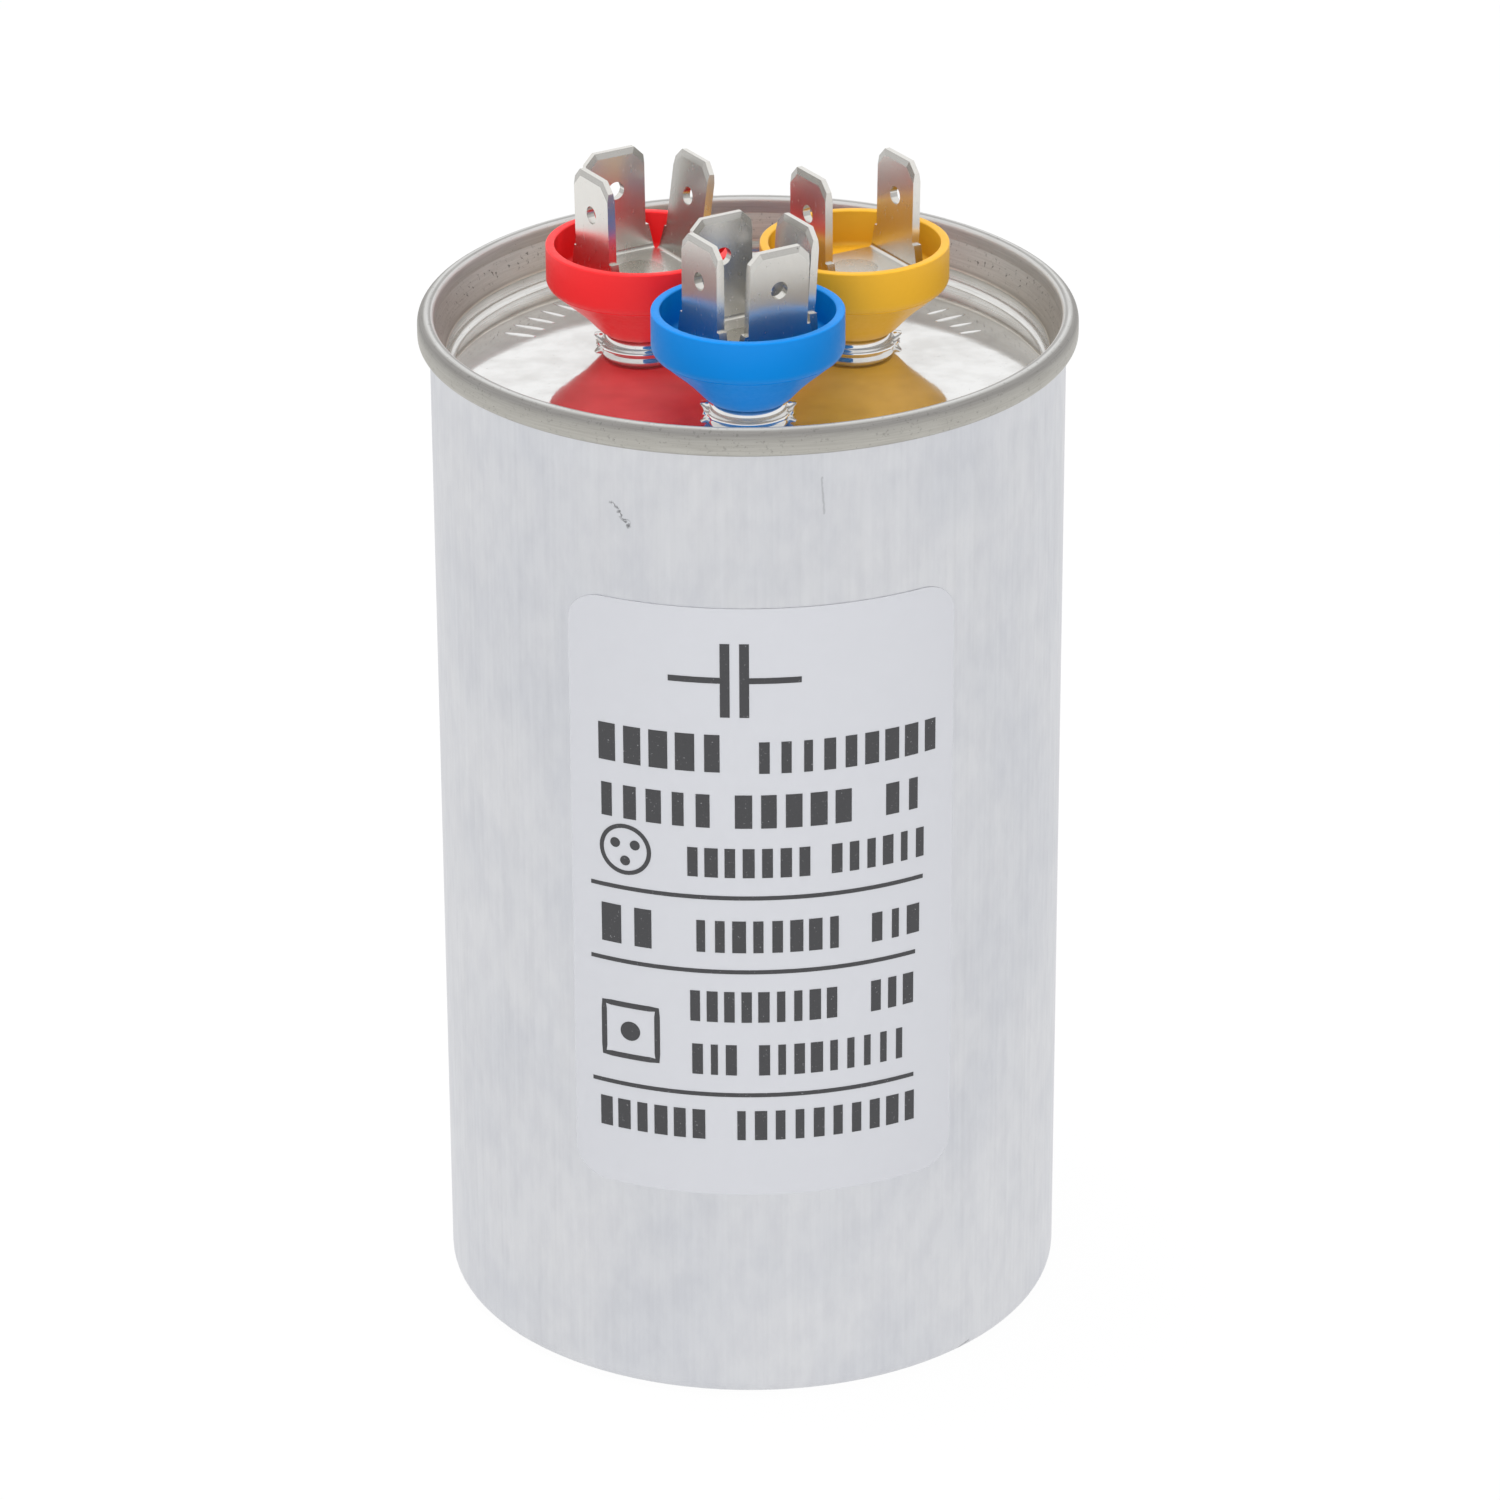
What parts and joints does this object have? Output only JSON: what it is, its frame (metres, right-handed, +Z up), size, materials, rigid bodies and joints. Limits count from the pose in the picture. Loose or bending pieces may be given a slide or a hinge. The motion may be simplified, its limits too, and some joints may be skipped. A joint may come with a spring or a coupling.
{
  "type": "motor run capacitor",
  "caption": "Round metal can capacitor with a rolled rim, a recessed bright lid and colour-coded insulating cups that hold folded quick-connect blades.",
  "frame": {"origin": "centre of the foot ring, on the surface that the can stands on", "axes": "+Z up along the can's axis towards the blades, -Y towards the label and the blue terminal, +X right"},
  "size_m": [0.0622, 0.0622, 0.1129],
  "materials": {
    "can_aluminium": "drawn, satin, fine vertical lines",
    "lid_tinplate": "bright pressed tinplate",
    "seam_rubber": "matt sealing compound",
    "label_film": "semi-gloss white film with dark print",
    "red_plastic": "moulded, semi-gloss",
    "blue_plastic": "moulded, semi-gloss",
    "yellow_plastic": "moulded, semi-gloss",
    "blade_metal": "tinned brass stamping, satin",
    "rivet_metal": "tinned brass, satin",
    "bush_plastic": "moulded, matt",
    "lug_brass": "stamped brass strip",
    "disc_plastic": "moulded, matt",
    "pressboard": "smooth insulating board",
    "core_plastic": "extruded tube, matt",
    "film_roll": "metallised film wound on edge",
    "zinc_spray": "sprayed zinc, rough",
    "lead_wire": "insulated stranded wire",
    "solder": "solder, dull bright"
  },
  "bodies": {
    "root": {"can": "can_aluminium", "lid": "lid_tinplate", "seam_compound": "seam_rubber", "label": "label_film", "red_cup": "red_plastic", "blue_cup": "blue_plastic", "yellow_cup": "yellow_plastic", "red_terminal": "blade_metal", "blue_terminal": "blade_metal", "yellow_terminal": "blade_metal", "red_rivet": "rivet_metal", "blue_rivet": "rivet_metal", "yellow_rivet": "rivet_metal", "red_bush": "bush_plastic", "blue_bush": "bush_plastic", "yellow_bush": "bush_plastic", "red_lug": "lug_brass", "blue_lug": "lug_brass", "yellow_lug": "lug_brass", "interrupter_disc": "disc_plastic", "top_insulator": "pressboard", "liner": "pressboard", "bottom_tray": "disc_plastic", "core_tube": "core_plastic", "inner_winding": "film_roll", "section_sleeve": "pressboard", "outer_winding": "film_roll", "inner_end_spray": "zinc_spray", "outer_end_spray": "zinc_spray", "common_end_spray": "zinc_spray", "red_lead": "lead_wire", "blue_lead": "lead_wire", "yellow_lead": "lead_wire", "red_solder": "solder", "blue_solder": "solder", "yellow_solder": "solder"}
  },
  "joints": []
}
